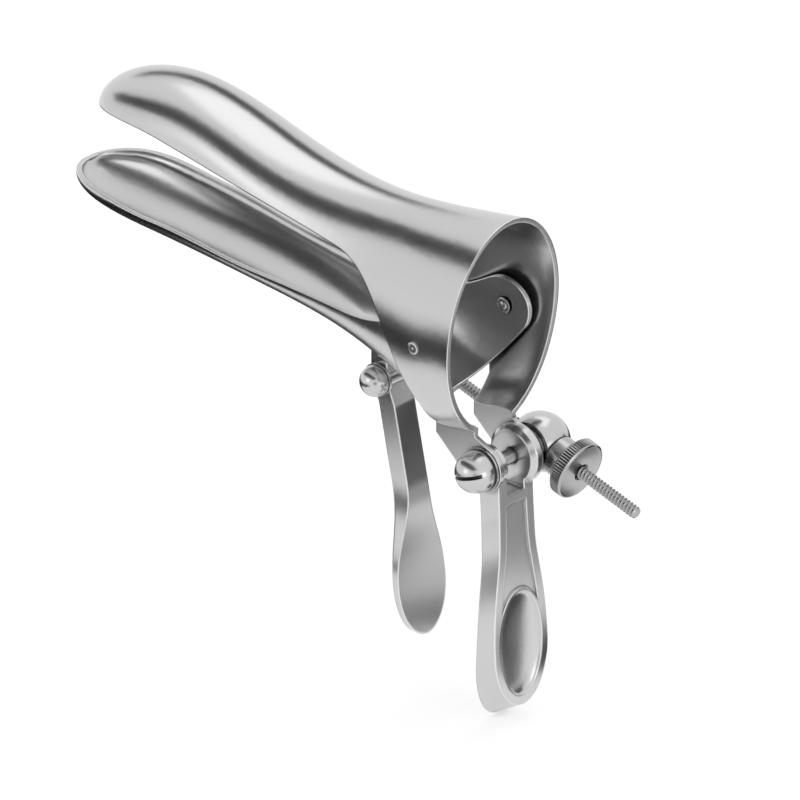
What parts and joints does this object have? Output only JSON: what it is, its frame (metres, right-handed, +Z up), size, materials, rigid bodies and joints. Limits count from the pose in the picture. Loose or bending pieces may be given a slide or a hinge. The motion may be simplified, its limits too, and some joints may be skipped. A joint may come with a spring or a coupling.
{
  "type": "bivalve vaginal speculum",
  "caption": "Duck-bill bivalve speculum in polished steel with a side adjusting screw, a knurled nut, a forked front handle and a rear thumb lever.",
  "frame": {"origin": "midway between the two pivot rivets, on the blades' pivot axis", "axes": "+X out of the mouth towards the user, along the channel; the blades point to -X. +Y towards the adjusting rod. +Z up, from the handles to the upper blade."},
  "size_m": [0.1647, 0.0406, 0.1364],
  "materials": {
    "blade_steel": "polished, bright rolled edges",
    "handle_steel": "polished forging",
    "screw_steel": "turned and polished",
    "fitting_steel": "turned and polished",
    "knurled_steel": "turned, straight knurl on the rim",
    "rod_steel": "threaded rod, polished crests"
  },
  "bodies": {
    "frame": {"handle": "handle_steel", "handle_screw": "screw_steel", "handle_screw_washer": "screw_steel", "pivot_rivet_far": "screw_steel", "pivot_rivet_near": "screw_steel", "pivot_washer_far": "screw_steel", "pivot_washer_near": "screw_steel", "swivel_washer": "screw_steel", "upper_blade": "blade_steel"},
    "lower_blade_and_lever": {"lever_screw": "screw_steel", "lever_screw_nut": "screw_steel", "lever_washer_inner": "screw_steel", "lever_washer_outer": "screw_steel", "lower_blade": "blade_steel", "rod_spacer": "screw_steel", "thumb_lever": "handle_steel"},
    "adjusting_rod": {"adjusting_rod": "rod_steel"},
    "swivel": {"swivel_ball": "fitting_steel"},
    "nut": {"knurled_nut": "knurled_steel"}
  },
  "joints": [
    {"name": "blade_pivot", "type": "hinge", "parent": "frame", "child": "lower_blade_and_lever", "pos_m": [0, 0, 0], "axis": [0, -1, 0], "range_deg": [-9.5, 15]},
    {"name": "rod_swing", "type": "hinge", "parent": "lower_blade_and_lever", "child": "adjusting_rod", "pos_m": [-0.0241, 0.0133, -0.0209], "axis": [0, -1, 0], "range_deg": [-9.32, 6.27]},
    {"name": "ball_swivel", "type": "hinge", "parent": "frame", "child": "swivel", "pos_m": [0.01236, 0.0133, -0.03176], "axis": [0, -1, 0], "range_deg": [-5.23, 7.67]},
    {"name": "nut_turn", "type": "hinge", "parent": "swivel", "child": "nut", "pos_m": [0.01236, 0.0133, -0.03176], "axis": [0.9584, 0, -0.2855], "continuous": true}
  ],
  "couplings": [
    {"joint": "rod_swing", "follows": "blade_pivot", "ratio": -0.555},
    {"joint": "ball_swivel", "follows": "blade_pivot", "ratio": 0.445}
  ]
}
